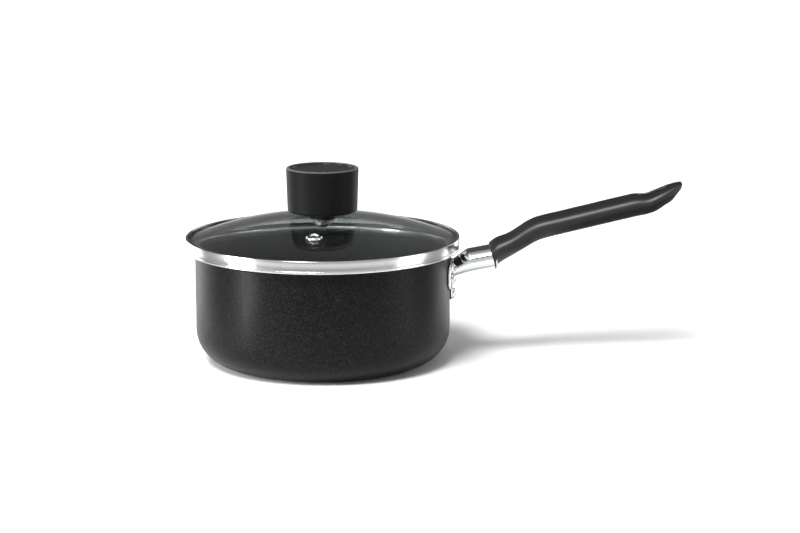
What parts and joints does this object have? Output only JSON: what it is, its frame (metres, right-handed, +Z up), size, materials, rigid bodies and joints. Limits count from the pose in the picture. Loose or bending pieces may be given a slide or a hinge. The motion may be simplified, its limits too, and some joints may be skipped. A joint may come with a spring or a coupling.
{
  "type": "saucepan with glass lid",
  "caption": "Small coated saucepan with a long riveted handle and a domed glass lid with steam vent and round knob.",
  "frame": {"origin": "centre of the pan's round base, on the surface that it stands on", "axes": "+Z up along the pan's axis, +X out along the handle, +Y to the left of the handle as it points away"},
  "size_m": [0.3196, 0.176, 0.1259],
  "materials": {
    "coated_pan": "charcoal metallic non-stick coating outside and inside, bare polished lip and turned base",
    "chromed_steel": "chromed and polished",
    "rivet_metal": "polished",
    "grip_bakelite": "satin moulded phenolic, faintly grained",
    "plain_steel": "zinc plated",
    "toughened_glass": "clear, polished",
    "stainless_band": "polished stainless steel",
    "black_silicone": "matt moulded silicone",
    "knob_bakelite": "satin moulded phenolic",
    "insert_brass": "turned"
  },
  "bodies": {
    "pan": {"pan_body": "coated_pan", "handle_bracket": "chromed_steel", "rivet_upper_front": "rivet_metal", "rivet_upper_rear": "rivet_metal", "rivet_lower": "rivet_metal", "handle_grip": "grip_bakelite", "handle_tang": "plain_steel", "handle_screw": "plain_steel", "handle_lock_washer": "plain_steel"},
    "lid": {"lid_glass": "toughened_glass", "lid_band": "stainless_band", "lid_gasket": "black_silicone", "vent_grommet": "black_silicone", "vent_eyelet": "stainless_band", "knob_body": "knob_bakelite", "knob_cap": "knob_bakelite", "knob_insert": "insert_brass", "knob_pad_upper": "black_silicone", "knob_pad_lower": "black_silicone", "knob_washer": "plain_steel", "knob_screw": "plain_steel"}
  },
  "joints": [
    {"name": "lid_lift", "type": "slide", "parent": "pan", "child": "lid", "axis": [0, 0, 1], "range_m": [0, 0.12]}
  ]
}
